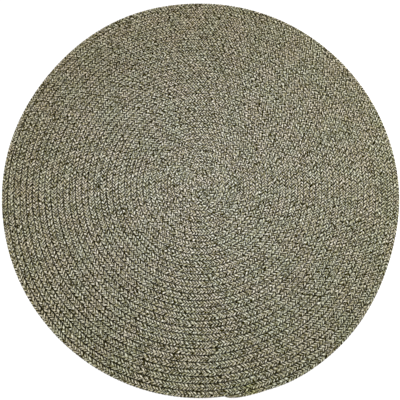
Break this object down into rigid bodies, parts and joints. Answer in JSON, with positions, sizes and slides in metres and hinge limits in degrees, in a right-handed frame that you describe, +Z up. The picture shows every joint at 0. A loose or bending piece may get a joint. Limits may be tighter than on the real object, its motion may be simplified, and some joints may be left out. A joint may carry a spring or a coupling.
{
  "type": "round braided rug",
  "caption": "Flat round rug: one wide braid of tweed yarn, coiled from the middle and sewn edge to edge into rows, its end tucked in at the rim.",
  "frame": {"origin": "middle of the rug's outline, on the floor plane under it", "axes": "+Z up through the rug's thickness; -Y towards the rim where the braid ends; the coil winds outwards clockwise seen from above"},
  "size_m": [1.8226, 1.8312, 0.011],
  "materials": {
    "braid": "matt braided tweed yarn, olive grey and taupe with cream flecks"
  },
  "bodies": {
    "root": {"braid": "braid"}
  },
  "joints": []
}
